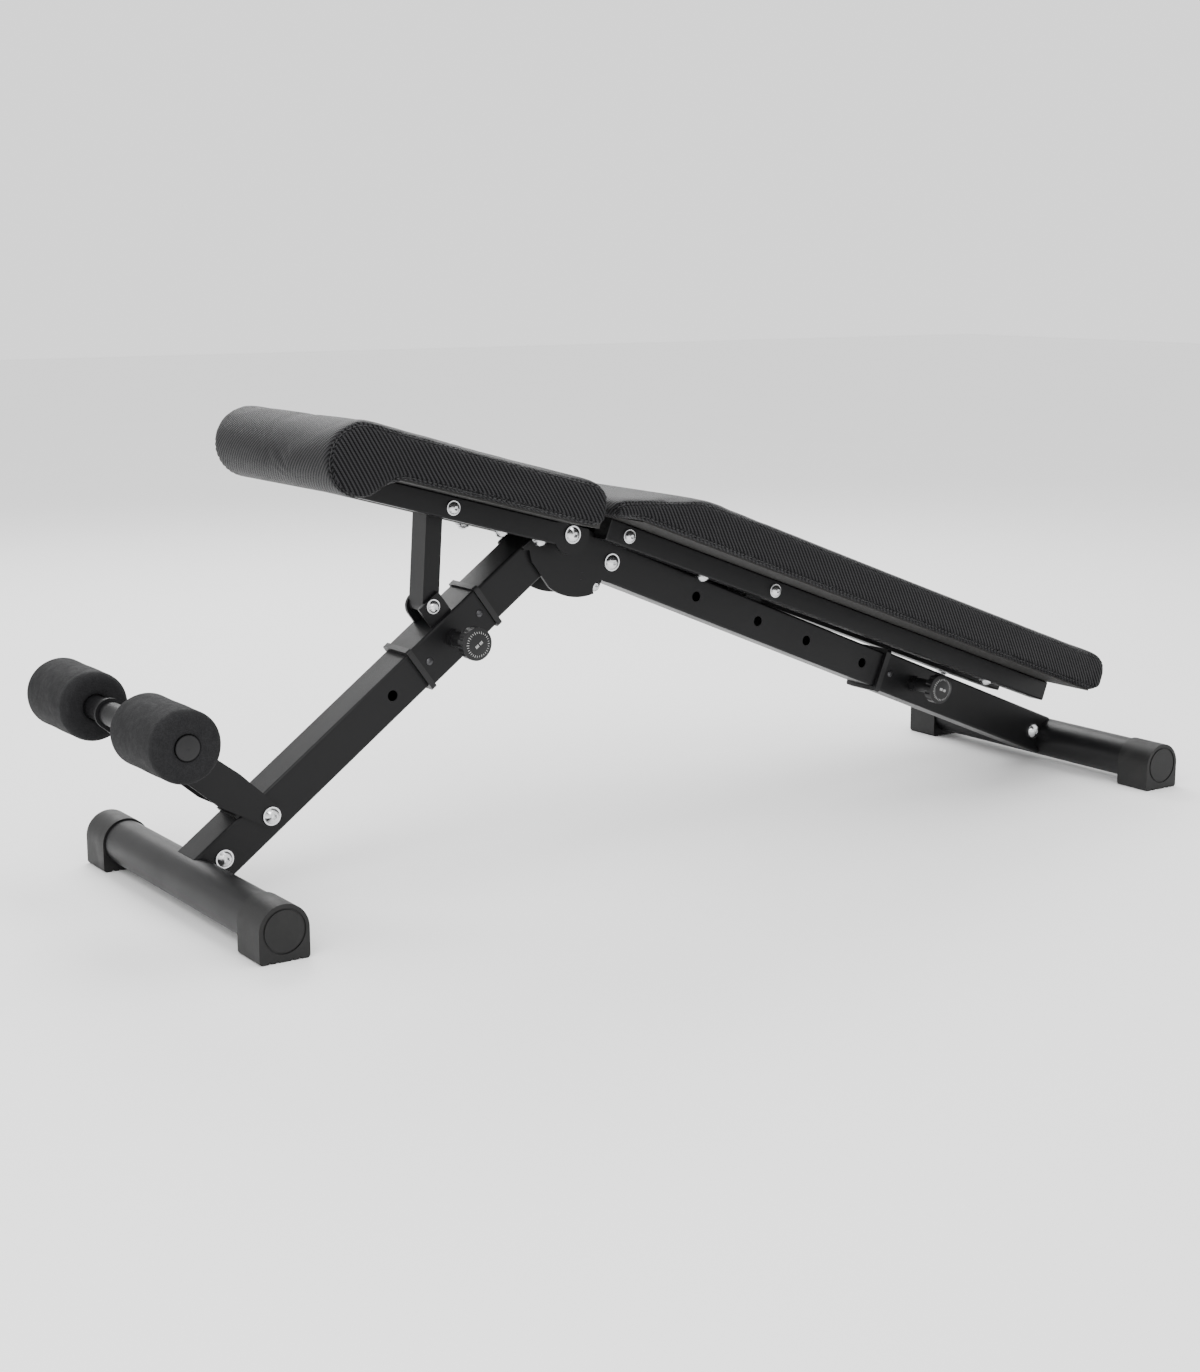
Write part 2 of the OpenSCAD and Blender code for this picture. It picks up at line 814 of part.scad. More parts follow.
module rail_spacers() {
    color("silver") in_back() for (s = back_bolt_s, side = [0, 1]) mirror([0, side, 0])
        difference() {
            rod(s, back_mid_p, 12, bracket_half + gap, rail_y0 - gap);
            rod(s, back_mid_p, m8 + fit, 0, rail_y1);
        }
}

module back_rail(side) {
    in_back() difference() {
        translate([0, side * rail_y, back_mid_p]) square_rail(back_rail_s0, back_rail_s1);
        for (s = back_bolt_s) rod(s, back_mid_p, m8 + fit, -half_w, half_w);
        for (s = back_pad_bolt_s)
            translate([s, side * rail_y, 0]) cylinder(d = m8 + fit, h = half_w);
    }
}

module back_rail_near() { color("#1b1b1d") back_rail(-1); }

module back_rail_far() { color("#1b1b1d") back_rail(1); }

module back_rail_plugs() {
    color("#141414") in_back() rail_plugs(back_rail_s0, back_rail_s1, back_mid_p, true);
}

module back_rail_bolts() {
    color("silver") in_back() for (s = back_bolt_s)
        bolt_set(s, back_mid_p, m8, -rail_y1 - gap, rail_y1 + gap);
}

board_s0 = -44;
board_s1 = back_end_s - 14;

module back_board() {
    color("#2b2622") in_back() difference() {
        translate([board_s0, -board_half, back_p + gap])
            cube([board_s1 - board_s0, 2 * board_half, board_t - gap]);
        for (s = back_pad_bolt_s, side = [-1, 1])
            translate([s, side * rail_y, 0]) cylinder(d = m8 + fit, h = half_w);
    }
}

// Side outline of the back pad: full thickness behind the hump, tapering towards the seat
module back_outline() {
    top = back_p + back_t;
    end_r = 22;
    polygon([[board_s0 - 8, back_p], [-84, 34.5], [-92, 42], [-92, 53], [-84, 60], [hump_s, top],
             [back_end_s - end_r, top], [back_end_s - end_r, top - end_r],
             [back_end_s, top - end_r], [back_end_s, back_p + 6], [back_end_s - 6, back_p]]);
    translate([back_end_s - end_r, top - end_r]) circle(end_r);
}

module back_pad() {
    color("#17171a") in_back() difference() {
        slab(-pad_half, pad_half) back_outline();
        board_room(board_s0, board_s1, back_p);
    }
}

module back_pad_bolts() {
    color("silver") in_back() for (s = back_pad_bolt_s, side = [-1, 1])
        pad_bolt(s, side * rail_y, back_p - rail_w, back_p + board_t - 1);
}

// ---------- rear leg ----------

module rear_leg_tube() {
    color("#1b1b1d") difference() {
        in_beam() difference() {
            square_tube(leg_s0, leg_s1, outer_w, wall);
            rod(leg_pin_s, 0, pin_barrel_bore, -outer_w, 0);
            rod(leg_bolt_s, 0, m10 + fit, -outer_w, outer_w);
        }
        rod(rear_x, base_z, base_d + gap, -half_w, half_w);
    }
}

module leg_collar() { color("#151515") in_beam() collar(leg_s0 - 8, leg_s0 - gap); }

module leg_collar_screws() { color("#3a3a3c") in_beam() side_screw(leg_s0 + 10); }

module leg_base_bolt() {
    color("silver") in_beam() bolt_set(leg_bolt_s, 0, m10, -outer_w / 2, outer_w / 2);
}

// ---------- nodes ----------

front_base_tube();
front_foot_near();
front_foot_far();
front_base_stub();
front_post();
post_base_bolt();
hub_plate_near();
hub_plate_far();
hub_stop_bar();
hub_pivot_bolt();
seat_pivot_bolt();
seat_pivot_spacers();
bracket_bolt();
roller_plate_near();
roller_plate_far();
roller_bracket_web();
roller_axle();
axle_plugs();
foam_roller_near();
foam_roller_far();
seat_sleeve();
sleeve_collars();
sleeve_screws();
strut_lower_bolt();
seat_pin_barrel();
seat_pin_spring();
seat_pin_plunger();
seat_pin_knob();
seat_strut();
seat_rail_near();
seat_rail_far();
seat_rail_plugs();
seat_board();
seat_pad();
seat_pad_bolts();
strut_upper_bolt();
strut_spacers();
main_tube();
rail_brackets();
rail_spacers();
back_rail_near();
back_rail_far();
back_rail_plugs();
back_rail_bolts();
back_board();
back_pad();
back_pad_bolts();
beam_lug_bolt();
rear_leg_tube();
leg_collar();
leg_collar_screws();
rear_base_stub();
rear_base_tube();
rear_foot_near();
rear_foot_far();
leg_base_bolt();
leg_pin_barrel();
leg_pin_spring();
leg_pin_plunger();
leg_pin_knob();
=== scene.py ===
"""Adjustable weight bench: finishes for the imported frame, and its padded parts in mesh code.

Everything is in metres, in the frame's own axes: +X from the leg rollers to the rear leg,
-Y the side of the two pull knobs, +Z up, with the floor at z = 0.
"""

import json
import math

import bpy
import numpy as np
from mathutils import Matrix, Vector
from mathutils.bvhtree import BVHTree
from mathutils.kdtree import KDTree


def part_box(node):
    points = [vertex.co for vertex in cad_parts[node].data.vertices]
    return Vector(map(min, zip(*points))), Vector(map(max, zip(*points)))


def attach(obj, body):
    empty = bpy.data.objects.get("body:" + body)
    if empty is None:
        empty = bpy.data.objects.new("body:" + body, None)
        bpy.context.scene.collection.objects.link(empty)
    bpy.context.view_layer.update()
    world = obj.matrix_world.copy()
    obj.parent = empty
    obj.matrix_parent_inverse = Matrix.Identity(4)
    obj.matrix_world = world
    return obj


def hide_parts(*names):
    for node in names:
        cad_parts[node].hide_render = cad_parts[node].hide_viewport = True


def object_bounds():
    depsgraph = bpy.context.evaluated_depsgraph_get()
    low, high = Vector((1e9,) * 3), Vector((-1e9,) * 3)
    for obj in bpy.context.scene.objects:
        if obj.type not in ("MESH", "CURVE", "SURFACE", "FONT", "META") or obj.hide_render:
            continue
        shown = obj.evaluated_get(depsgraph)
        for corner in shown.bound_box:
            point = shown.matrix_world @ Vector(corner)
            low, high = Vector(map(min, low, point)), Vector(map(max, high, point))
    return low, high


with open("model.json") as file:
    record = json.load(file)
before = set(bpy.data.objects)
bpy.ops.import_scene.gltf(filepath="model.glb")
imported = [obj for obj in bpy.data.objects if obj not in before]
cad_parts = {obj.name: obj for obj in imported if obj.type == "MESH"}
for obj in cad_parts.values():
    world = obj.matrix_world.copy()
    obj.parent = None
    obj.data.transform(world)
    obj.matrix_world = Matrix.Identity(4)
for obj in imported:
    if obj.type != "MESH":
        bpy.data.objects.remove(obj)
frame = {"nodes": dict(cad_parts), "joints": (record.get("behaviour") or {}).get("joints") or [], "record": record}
cad_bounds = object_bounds()

MM = 0.001
SEAT_SLOPE = math.radians(15.2)
BACK_SLOPE = math.radians(20.7)
BEAM_SLOPE = math.radians(22.3)
POST_SLOPE = math.radians(36.5)

# The pads' side outlines: height of the face on the board, and of the top
SEAT_BASE, SEAT_TOP, SEAT_END = 10.5 * MM, 58.5 * MM, -13.0 * MM
BACK_BASE, BACK_TOP, BACK_END = 44.3 * MM, 92.3 * MM, 723.0 * MM
END_ROUND_TOP, END_ROUND_BOTTOM = 22.0 * MM, 6.0 * MM
# Behind these places along the slope a pad lies flat on its board
SEAT_FLAT_FROM, BACK_FLAT_FROM = -0.262, -0.05

# The cover: how far the bare form stands inside the outline, and how far it then swells
COVER_ROOM = 1.6 * MM
COVER_SWELL = 2.6 * MM
COVER_RIM = 7.0 * MM
CLOTH_FRAMES = 20
SEAM_DEPTH = 5.0 * MM
SEAM_WIDTH, SEAM_PULL = 1.7 * MM, 1.6 * MM
THREAD_RADIUS, THREAD_SUNK = 0.55 * MM, 0.6 * MM


def joint_place(name):
    """The place of a joint of the frame."""
    return Vector(next(j["pos_m"] for j in frame["joints"] if j["name"] == name))


# ---------- small helpers for shader nodes ----------

class Nodes:
    """Builds one material's node tree on top of its Principled shader."""

    def __init__(self, name):
        self.material = bpy.data.materials.new(name)
        self.material.use_nodes = True
        self.tree = self.material.node_tree
        self.shader = self.tree.nodes["Principled BSDF"]
        self.coords = self.add("ShaderNodeTexCoord").outputs["Object"]

    def add(self, kind, **inputs):
        node = self.tree.nodes.new(kind)
        for key, value in inputs.items():
            self.feed(node.inputs[key.replace("_", " ")], value)
        return node

    def feed(self, socket, value):
        if isinstance(value, bpy.types.NodeSocket):
            self.tree.links.new(value, socket)
        else:
            socket.default_value = value

    def set(self, **inputs):
        for key, value in inputs.items():
            self.feed(self.shader.inputs[key.replace("_", " ")], value)

    def math(self, operation, a, b=0.0, c=0.0):
        node = self.tree.nodes.new("ShaderNodeMath")
        node.operation = operation
        for socket, value in zip(node.inputs, (a, b, c)):
            self.feed(socket, value)
        return node.outputs[0]

    def noise(self, scale, detail=3.0, roughness=0.55, vector=None):
        node = self.add("ShaderNodeTexNoise", Scale=scale, Detail=detail, Roughness=roughness)
        self.feed(node.inputs["Vector"], vector or self.coords)
        return node.outputs["Fac"]

    def cells(self, scale, vector=None):
        node = self.add("ShaderNodeTexVoronoi", Scale=scale)
        self.feed(node.inputs["Vector"], vector or self.coords)
        return node.outputs["Distance"]

    def span(self, value, low, high, start=0.0, end=1.0):
        node = self.tree.nodes.new("ShaderNodeMapRange")
        for socket, number in zip(node.inputs, (value, start, end, low, high)):
            self.feed(socket, number)
        return node.outputs[0]

    def blend(self, fac, a, b):
        node = self.tree.nodes.new("ShaderNodeMix")
        node.data_type = "RGBA"
        self.feed(node.inputs[0], fac)
        self.feed(node.inputs[6], (*a, 1.0) if isinstance(a, tuple) else a)
        self.feed(node.inputs[7], (*b, 1.0) if isinstance(b, tuple) else b)
        return node.outputs[2]

    def bump(self, height, strength, distance, normal=None):
        node = self.add("ShaderNodeBump", Height=height, Strength=strength, Distance=distance)
        if normal is not None:
            self.feed(node.inputs["Normal"], normal)
        return node.outputs["Normal"]


# ---------- materials ----------

def powder_coat():
    """Satin black powder coat: fine orange peel, a few dull patches."""
    n = Nodes("powder_coat")
    patch = n.noise(9.0, 4.0)
    peel = n.noise(900.0, 2.0)
    grit = n.noise(3200.0, 1.0)
    n.set(Base_Color=n.blend(patch, (0.004, 0.004, 0.0044), (0.007, 0.007, 0.0076)),
          Roughness=n.span(patch, 0.34, 0.46, 0.3, 0.7),
          Normal=n.bump(grit, 0.12, 0.3 * MM, n.bump(peel, 0.22, 0.5 * MM)))
    n.shader.inputs["Specular IOR Level"].default_value = 0.2
    return n.material


def zinc():
    """Bright zinc plating with fine turning marks and a faint haze."""
    n = Nodes("zinc")
    haze = n.noise(60.0, 4.0)
    marks = n.noise(1500.0, 2.0)
    n.set(Base_Color=n.blend(haze, (0.62, 0.63, 0.65), (0.82, 0.82, 0.82)), Metallic=1.0,
          Roughness=n.span(haze, 0.16, 0.3, 0.3, 0.7), Normal=n.bump(marks, 0.08, 0.2 * MM))
    return n.material


def dark_screw():
    """Blackened steel of the small guide screws."""
    n = Nodes("dark_screw")
    haze = n.noise(200.0, 3.0)
    n.set(Base_Color=n.blend(haze, (0.05, 0.05, 0.052), (0.11, 0.11, 0.115)), Metallic=1.0,
          Roughness=n.span(haze, 0.3, 0.45, 0.3, 0.7))
    return n.material


def foam():
    """Dense black foam: open pores, painted darker towards their middles as painted shade, a fine skin, no gloss.
    """
    n = Nodes("foam")
    pores_and_shade = n.cells(850.0)
    lumps = n.noise(120.0, 4.0)
    # The colour is darkest in the middle of each pore: painted shade in the foam's open cells, not a darker
    # material.
    n.set(Base_Color=n.blend(n.span(pores_and_shade, 0.0, 1.0, 0.1, 0.7), (0.003, 0.003, 0.0034),
                             (0.011, 0.011, 0.012)),
          Roughness=n.span(lumps, 0.72, 0.86, 0.3, 0.7),
          Normal=n.bump(lumps, 0.25, 0.8 * MM, n.bump(pores_and_shade, 0.55, 0.6 * MM)))
    n.shader.inputs["Specular IOR Level"].default_value = 0.2
    return n.material


def rubber():
    """Moulded black rubber of the feet, scuffed a little grey near the floor."""
    n = Nodes("rubber")
    grain = n.noise(1400.0, 2.0)
    dust = n.noise(40.0, 5.0)
    n.set(Base_Color=n.blend(n.span(dust, 0.0, 1.0, 0.45, 0.75), (0.006, 0.006, 0.006),
                             (0.014, 0.0138, 0.0135)),
          Roughness=n.span(dust, 0.45, 0.62, 0.3, 0.7), Normal=n.bump(grain, 0.3, 0.3 * MM))
    n.shader.inputs["Specular IOR Level"].default_value = 0.28
    return n.material


def plastic():
    """Black moulded plastic with a fine spark-eroded grain."""
    n = Nodes("plastic")
    grain = n.cells(1800.0)
    tone = n.noise(30.0, 3.0)
    n.set(Base_Color=n.blend(tone, (0.005, 0.005, 0.0055), (0.009, 0.009, 0.0095)),
          Roughness=n.span(tone, 0.36, 0.48, 0.3, 0.7), Normal=n.bump(grain, 0.18, 0.2 * MM))
    n.shader.inputs["Specular IOR Level"].default_value = 0.3
    return n.material


def board():
    """Plywood under a thin coat of black paint: grain and fibres show through."""
    n = Nodes("board")
    stretch = n.add("ShaderNodeMapping", Vector=n.coords, Scale=(6.0, 90.0, 90.0)).outputs[0]
    grain = n.noise(4.0, 6.0, 0.6, stretch)
    n.set(Base_Color=n.blend(grain, (0.005, 0.0048, 0.0045), (0.014, 0.0125, 0.011)),
          Roughness=n.span(grain, 0.6, 0.8, 0.3, 0.7), Normal=n.bump(grain, 0.3, 0.5 * MM))
    return n.material


def vinyl():
    """Black vinyl embossed as a 2/2 twill weave; its threads follow the pads' own surface."""
    n = Nodes("vinyl")
    tow = 1.4 * MM
    flat = n.add("ShaderNodeAttribute")
    flat.attribute_name = "weave"
    split = n.add("ShaderNodeSeparateXYZ", Vector=flat.outputs["Vector"])
    a = n.math("DIVIDE", split.outputs[0], tow)
    b = n.math("DIVIDE", split.outputs[1], tow)
    step = n.math("ADD", n.math("FLOOR", a), n.math("FLOOR", b))
    over = n.math("LESS_THAN", n.math("FRACT", n.math("DIVIDE", step, 4.0)), 0.5)
    turn = 2 * math.pi
    warp = n.math("COSINE", n.math("MULTIPLY", n.math("SUBTRACT", n.math("FRACT", a), 0.5), turn))
    weft = n.math("COSINE", n.math("MULTIPLY", n.math("SUBTRACT", n.math("FRACT", b), 0.5), turn))
    height = n.math("ADD", n.math("MULTIPLY", warp, over),
                    n.math("MULTIPLY", weft, n.math("SUBTRACT", 1.0, over)))
    grain = n.noise(1600.0, 2.0)
    wear = n.noise(7.0, 4.0)
    cloth = n.blend(over, (0.0012, 0.0012, 0.0016), (0.0075, 0.0075, 0.009))
    n.set(Base_Color=n.blend(n.span(wear, 0.0, 0.35, 0.4, 0.8), cloth, (0.006, 0.006, 0.007)),
          Roughness=n.math("ADD", n.math("MULTIPLY", over, 0.1),
                           n.span(wear, 0.38, 0.46, 0.3, 0.7)),
          Specular_IOR_Level=n.span(over, 0.06, 0.3),
          Normal=n.bump(grain, 0.1, 0.2 * MM, n.bump(height, 0.6, 0.35 * MM)))
    return n.material


def thread():
    """Black sewing thread, slightly glossy."""
    n = Nodes("thread")
    twist = n.noise(2500.0, 1.0)
    n.set(Base_Color=n.blend(twist, (0.004, 0.004, 0.0045), (0.014, 0.014, 0.015)),
          Roughness=n.span(twist, 0.35, 0.55), Normal=n.bump(twist, 0.4, 0.2 * MM))
    return n.material


def print_white():
    """Pale print on the knobs' caps, a little worn."""
    n = Nodes("print_white")
    wear = n.noise(900.0, 3.0)
    n.set(Base_Color=n.blend(wear, (0.30, 0.30, 0.30), (0.5, 0.5, 0.49)),
          Roughness=n.span(wear, 0.45, 0.6))
    return n.material


MATERIALS = {
    "powder_coated_steel": powder_coat(),
    "zinc_bolts": zinc(),
    "dark_screws": dark_screw(),
    "roller_foam": foam(),
    "rubber_feet": rubber(),
    "black_plastic": plastic(),
    "pad_board": board(),
    "pad_vinyl": vinyl(),
}
THREAD = thread()
PRINT = print_white()


def paint_frame():
    """Gives every CAD node the material of its slot."""
    for row in frame["record"]["subparts"]:
        mesh = frame["nodes"][row["node"]].data
        mesh.materials.clear()
        mesh.materials.append(MATERIALS[row["material_slot"]])


# ---------- mesh helpers ----------

def new_piece(name, verts, faces, material, smooth=True):
    mesh = bpy.data.meshes.new(name)
    mesh.from_pydata([tuple(v) for v in verts], [], faces)
    mesh.materials.append(material)
    mesh.polygons.foreach_set("use_smooth", [smooth] * len(mesh.polygons))
    mesh.update()
    piece = bpy.data.objects.new(name, mesh)
    bpy.context.scene.collection.objects.link(piece)
    return piece


def read_points(mesh):
    points = np.empty(len(mesh.vertices) * 3)
    mesh.vertices.foreach_get("co", points)
    return points.reshape(-1, 3)


def write_points(mesh, points):
    mesh.vertices.foreach_set("co", points.ravel())
    mesh.update()


def tube_mesh(lines, radius, sides=8):
    """Vertices and faces of round tubes along open lines of points, narrower at their ends."""
    end_taper = 0.55
    verts, faces = [], []
    for line in lines:
        first = len(verts)
        count = len(line)
        for i, point in enumerate(line):
            ahead = line[min(i + 1, count - 1)]
            behind = line[max(i - 1, 0)]
            along = (ahead - behind).normalized()
            side = along.cross(Vector((0, 1, 0)))
            side = side.normalized() if side.length > 1e-6 else Vector((1, 0, 0))
            up = side.cross(along)
            shrink = end_taper if i in (0, count - 1) else 1.0
            for k in range(sides):
                angle = 2 * math.pi * k / sides
                out = math.cos(angle) * side + math.sin(angle) * up
                verts.append(point + radius * shrink * out)
        for i in range(count - 1):
            for k in range(sides):
                a = first + i * sides + k
                b = first + i * sides + (k + 1) % sides
                faces.append((a, b, b + sides, a + sides))
        faces.append(tuple(first + k for k in reversed(range(sides))))
        last = first + (count - 1) * sides
        faces.append(tuple(last + k for k in range(sides)))
    return verts, faces


# ---------- side outlines ----------

def arc(centre, radius, start, end, steps):
    """Points of an arc, with angles in degrees."""
    angles = [math.radians(start + (end - start) * i / steps) for i in range(steps + 1)]
    return [(centre[0] + radius * math.cos(a), centre[1] + radius * math.sin(a)) for a in angles]


def even(outline, spacing):
    """A closed outline with its points moved to an even spacing."""
    loop = np.array(outline + outline[:1])
    lengths = np.linalg.norm(np.diff(loop, axis=0), axis=1)
    along = np.concatenate([[0.0], np.cumsum(lengths)])
    count = int(along[-1] / spacing)
    at = np.arange(count) * along[-1] / count
    return np.stack([np.interp(at, along, loop[:, k]) for k in (0, 1)], axis=1)


def soften(loop, rounds):
    """Smooths a closed loop without shrinking its long straight stretches."""
    for _ in range(rounds):
        loop = 0.5 * loop + 0.25 * (np.roll(loop, 1, axis=0) + np.roll(loop, -1, axis=0))
    return loop


def inset(loop, distance):
    """A clockwise loop moved inwards along its normals."""
    run = np.roll(loop, -1, axis=0) - np.roll(loop, 1, axis=0)
    run /= np.linalg.norm(run, axis=1)[:, None]
    inward = np.stack([run[:, 1], -run[:, 0]], axis=1)
    return loop + distance * inward


def seat_outline():
    """The seat: a roll in front, a slab behind it, clockwise from the rear bottom corner."""
    roll = (-318.0 * MM, 19.5 * MM)
    roll_radius = 41.0 * MM
    bottom, top, end = SEAT_BASE, SEAT_TOP, SEAT_END
    big, small = END_ROUND_TOP, END_ROUND_BOTTOM
    points = [(end - small, bottom), (-262 * MM, bottom), (-272 * MM, 8.5 * MM)]
    points += [(-281 * MM, 1.0 * MM), (-289 * MM, -8.0 * MM)]
    points += arc(roll, roll_radius, -55, -268, 40)
    points += arc((end - big, top - big), big, 90, 0, 10)
    points += arc((end - small, bottom + small), small, 0, -90, 4)
    return points


def back_outline():
    """The back pad: tapers to the front, clockwise from the rear bottom corner."""
    tip = (-80 * MM, 47.0 * MM)
    tip_radius = 12.5 * MM
    bottom, top, end = BACK_BASE, BACK_TOP, BACK_END
    big, small = END_ROUND_TOP, END_ROUND_BOTTOM
    points = [(end - small, bottom), (-50 * MM, bottom), (-80 * MM, 34.5 * MM)]
    points += arc(tip, tip_radius, 260, 107, 8)
    points += [(18 * MM, 90.0 * MM), (44 * MM, top)]
    points += arc((end - big, top - big), big, 90, 0, 10)
    points += arc((end - small, bottom + small), small, 0, -90, 4)
    return points


# ---------- pads ----------

class Slope:
    """The plane of a pad: s runs down the slope from a pivot, p stands square on it."""

    def __init__(self, pivot, angle):
        self.pivot = np.array([pivot.x, 0.0, pivot.z])
        self.along = np.array([math.cos(angle), 0.0, -math.sin(angle)])
        self.square = np.array([math.sin(angle), 0.0, math.cos(angle)])

    def world(self, s, y, p):
        flat = np.asarray(s)[..., None] * self.along + np.asarray(p)[..., None] * self.square
        flat = flat + self.pivot
        flat[..., 1] += y
        return flat

    def local(self, points):
        gap = points - self.pivot
        return gap @ self.along, points[:, 1], gap @ self.square


def lofted_pad(name, loop, half, rim, slope):
    """A closed block of a side outline, with round long edges of radius rim."""
    turns = [i * 0.5 * math.pi / 5 for i in range(6)]
    sides = [(half - rim + rim * math.sin(t), rim * (1 - math.cos(t))) for t in turns]
    middle = np.linspace(0.0, half - rim, 14)[:-1]
    stations = [(y, 0.0) for y in middle] + sides
    stations = [(-y, d) for y, d in reversed(stations[1:])] + stations
    rings = [slope.world(r[:, 0], y, r[:, 1]) for y, d in stations for r in [inset(loop, d)]]
    count = len(loop)
    verts = np.concatenate(rings)
    faces = []
    for j in range(len(rings) - 1):
        for i in range(count):
            a = j * count + i
            b = j * count + (i + 1) % count
            faces.append((a, b, b + count, a + count))
    faces.append(tuple(reversed(range(count))))
    faces.append(tuple(range(len(verts) - count, len(verts))))
    return new_piece(name, verts, faces, MATERIALS["pad_vinyl"])


def apply_all(piece):
    """Replaces a piece's mesh by its modified one and clears its modifiers."""
    graph = bpy.context.evaluated_depsgraph_get()
    graph.update()
    mesh = bpy.data.meshes.new_from_object(piece.evaluated_get(graph))
    piece.modifiers.clear()
    piece.data = mesh


def remesh(piece, voxel):
    """An even quad skin over the piece, without the remesher's steps."""
    grid = piece.modifiers.new("even_skin", "REMESH")
    grid.mode = "VOXEL"
    grid.voxel_size = voxel
    calm = piece.modifiers.new("calm", "SMOOTH")
    calm.factor = 0.5
    calm.iterations = 4
    apply_all(piece)


def inflate(piece, slope, base, flat_from, cap):
    """Swells the cover with cloth pressure; the face on the board stays where it is."""
    mesh = piece.data
    rest = read_points(mesh)
    s, _, p = slope.local(rest)
    staple_band = 2.5 * MM
    held = np.nonzero((p < base + staple_band) & (s > flat_from))[0]
    group = piece.vertex_groups.new(name="stapled")
    group.add([int(i) for i in held], 1.0, "REPLACE")
    cloth = piece.modifiers.new("cover", "CLOTH")
    cloth.settings.quality = 5
    cloth.settings.mass = 0.25
    cloth.settings.tension_stiffness = 25
    cloth.settings.compression_stiffness = 25
    cloth.settings.shear_stiffness = 10
    cloth.settings.bending_stiffness = 0.8
    cloth.settings.vertex_group_mass = "stapled"
    cloth.settings.use_pressure = True
    cloth.settings.uniform_pressure_force = 4.0
    cloth.settings.effector_weights.gravity = 0.0
    scene = bpy.context.scene
    for step in range(1, CLOTH_FRAMES + 1):
        scene.frame_set(step)
    graph = bpy.context.evaluated_depsgraph_get()
    swollen = read_points(piece.evaluated_get(graph).data)
    piece.modifiers.clear()
    scene.frame_set(1)
    move = swollen - rest
    size = np.linalg.norm(move, axis=1)
    still = 1e-9
    share = np.where(size > still, cap * np.tanh(size / cap) / np.maximum(size, still), 0.0)
    write_points(mesh, rest + move * share[:, None])


def subdivide(piece):
    grow = piece.modifiers.new("grow", "SUBSURF")
    grow.levels = 1
    grow.render_levels = 1
    apply_all(piece)


def seam_points(piece, loop, depth, side, slope):
    """Where a seam that runs depth inside the outline meets the pad's side."""
    tree = BVHTree.FromObject(piece, bpy.context.evaluated_depsgraph_get())
    well_outside = 0.3
    found = []
    for s, p in inset(loop, depth):
        start = Vector(slope.world(s, side * well_outside, p))
        hit = tree.ray_cast(start, Vector((0, -side, 0)))[0]
        if hit is not None:
            found.append(hit)
    return found


def press_seam(piece, line, width, depth):
    """Pulls the cover in along a seam."""
    tree = KDTree(len(line))
    for i, point in enumerate(line):
        tree.insert(point, i)
    tree.balance()
    mesh = piece.data
    points = read_points(mesh)
    normals = np.array([v.normal for v in mesh.vertices])
    near = np.array([tree.find(Vector(q))[2] for q in points])
    pull = depth * np.exp(-(near / width) ** 2)
    write_points(mesh, points - normals * pull[:, None])


def stitches(name, line, body, length=4.2 * MM, space=1.8 * MM):
    """A row of thread stitches that lie in a seam."""
    points = [Vector(p) for p in line]
    along = [0.0]
    for a, b in zip(points, points[1:]):
        along.append(along[-1] + (b - a).length)
    rows = []
    at = 0.0
    table = np.array([tuple(p) for p in points])
    while at + length < along[-1]:
        spots = np.linspace(at, at + length, 4)
        rows.append([Vector([float(np.interp(t, along, table[:, k])) for k in range(3)])
                     for t in spots])
        at += length + space
    verts, faces = tube_mesh(rows, THREAD_RADIUS, 6)
    piece = new_piece(name, verts, faces, THREAD)
    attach(piece, body)
    return piece


def weave_coordinates(piece, loop, slope):
    """Lays the weave flat on the cover: along the outline on the top, by s and p on the sides."""
    mesh = piece.data
    closed = np.vstack([loop, loop[:1]])
    along = np.concatenate([[0.0], np.cumsum(np.linalg.norm(np.diff(closed, axis=0), axis=1))])[:-1]
    tree = KDTree(len(loop))
    for i, (s, p) in enumerate(loop):
        tree.insert(Vector((s, p, 0.0)), i)
    tree.balance()
    points = read_points(mesh)
    s, y, p = slope.local(points)
    run = np.roll(loop, -1, axis=0) - loop
    run /= np.linalg.norm(run, axis=1)[:, None]
    arc_at = np.empty(len(points))
    for i in range(len(points)):
        k = tree.find(Vector((s[i], p[i], 0.0)))[1]
        arc_at[i] = along[k] + run[k, 0] * (s[i] - loop[k, 0]) + run[k, 1] * (p[i] - loop[k, 1])
    corner = np.empty(len(mesh.loops), int)
    mesh.loops.foreach_get("vertex_index", corner)
    normals = np.array([f.normal for f in mesh.polygons])
    totals = np.array([f.loop_total for f in mesh.polygons])
    side_face = 0.72
    sideways = np.repeat(np.abs(normals[:, 1]) > side_face, totals)
    flat = np.zeros((len(corner), 3))
    flat[:, 0] = np.where(sideways, s[corner], arc_at[corner])
    flat[:, 1] = np.where(sideways, p[corner], y[corner])
    layer = mesh.attributes.new("weave", "FLOAT_VECTOR", "CORNER")
    layer.data.foreach_set("vector", flat.ravel())


def ripple(piece, slope, centre, reach, height, pitch):
    """Faint puckers in the cover around a place where it is pulled round a corner."""
    mesh = piece.data
    points = read_points(mesh)
    s, y, p = slope.local(points)
    normals = np.array([v.normal for v in mesh.vertices])
    away = np.exp(-(((s - centre[0]) / reach[0]) ** 2 + ((p - centre[1]) / reach[1]) ** 2))
    fade_from, fade_over = 0.075, 0.06
    side = np.clip((np.abs(y) - fade_from) / fade_over, 0, 1)
    lean_p, lean_y = 0.35, 0.12
    wave = np.sin(2 * math.pi * (s + lean_p * p + lean_y * y) / pitch)
    write_points(mesh, points + normals * (height * away * side * wave)[:, None])


